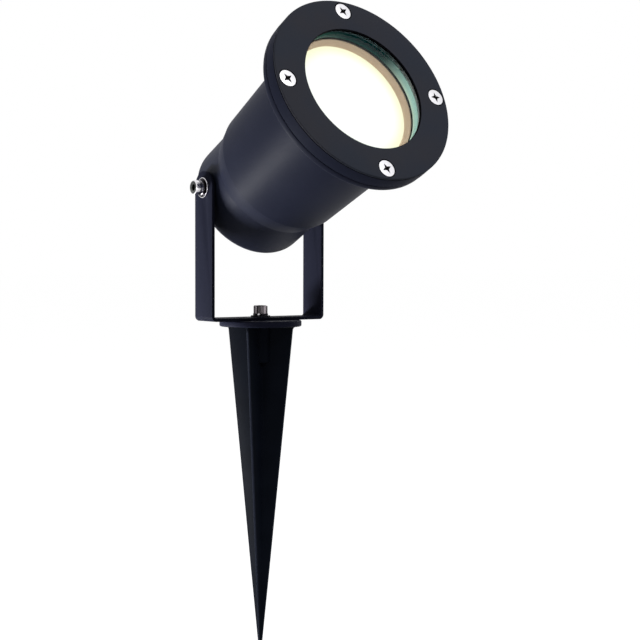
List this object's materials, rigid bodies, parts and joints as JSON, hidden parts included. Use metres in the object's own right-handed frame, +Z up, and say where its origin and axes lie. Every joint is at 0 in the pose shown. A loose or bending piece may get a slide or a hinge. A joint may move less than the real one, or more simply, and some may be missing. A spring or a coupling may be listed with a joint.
{
  "type": "garden spike spotlight",
  "caption": "Outdoor spotlight with a round metal head behind a screwed glass ring, tilting in a U-shaped bracket on a push-in ground spike.",
  "frame": {"origin": "centre of the spike's round flange at its underside, which is the ground line", "axes": "+Z up along the spike, +X across the bracket's two arms, and the lit face looks towards -Y and upwards; the head tilts about the X direction"},
  "size_m": [0.093, 0.1376, 0.3127],
  "materials": {
    "housing_coat": "matte",
    "ring_coat": "matte",
    "bracket_coat": "satin",
    "spike_plastic": "matte",
    "chromed_steel": "polished",
    "bright_steel": "satin",
    "zinc_steel": "satin",
    "screw_steel": "satin",
    "black_steel": "satin",
    "brass_parts": "satin",
    "front_glass": "polished",
    "seal_rubber": "matte",
    "black_rubber": "matte",
    "lamp_plastic": "satin",
    "lamp_diffuser": "satin",
    "board_coat": "satin",
    "led_phosphor": "satin",
    "driver_board": "satin",
    "lamp_cap_metal": "satin",
    "black_insulator": "gloss",
    "holder_ceramic": "gloss",
    "block_plastic": "satin",
    "brown_sleeve": "satin",
    "blue_sleeve": "satin",
    "green_sleeve": "satin",
    "gland_plastic": "satin",
    "nylon_washer": "satin"
  },
  "bodies": {
    "spike": {"ground_spike": "spike_plastic", "spike_insert": "brass_parts", "base_bolt": "zinc_steel", "base_spring_washer": "bright_steel", "base_flat_washer": "black_steel"},
    "bracket": {"bracket": "bracket_coat"},
    "head": {"housing": "housing_coat", "front_ring": "ring_coat", "face_screws": "screw_steel", "front_gasket": "black_rubber", "glass_pane": "front_glass", "glass_seal": "seal_rubber", "lamp_body": "lamp_plastic", "lamp_lens": "lamp_diffuser", "led_board": "board_coat", "led_chips": "led_phosphor", "lamp_driver": "driver_board", "lamp_cap": "lamp_cap_metal", "lamp_cap_insulator": "black_insulator", "lamp_contact": "zinc_steel", "holder_body": "holder_ceramic", "holder_shell": "brass_parts", "holder_contact": "brass_parts", "holder_terminals": "brass_parts", "holder_plate": "zinc_steel", "plate_screws": "zinc_steel", "holder_screws": "zinc_steel", "terminal_block": "block_plastic", "block_screws": "zinc_steel", "block_tubes": "brass_parts", "live_lead": "brown_sleeve", "neutral_lead": "blue_sleeve", "earth_lead": "green_sleeve", "earth_tag": "brass_parts", "earth_screw": "zinc_steel", "gland_washer": "black_rubber", "gland_body": "gland_plastic", "gland_seal": "black_rubber", "gland_cap": "gland_plastic", "gland_locknut": "gland_plastic", "pivot_bolts": "chromed_steel", "pivot_spring_washers": "bright_steel", "pivot_flat_washers": "chromed_steel", "pivot_friction_washers": "nylon_washer"}
  },
  "joints": [
    {"name": "bracket_swivel", "type": "hinge", "parent": "spike", "child": "bracket", "pos_m": [0, 0, 0], "axis": [0, 0, 1], "continuous": true},
    {"name": "head_tilt", "type": "hinge", "parent": "bracket", "child": "head", "pos_m": [0, 0, 0.0679], "axis": [-1, 0, 0], "range_deg": [-38.4, 165.6]}
  ]
}
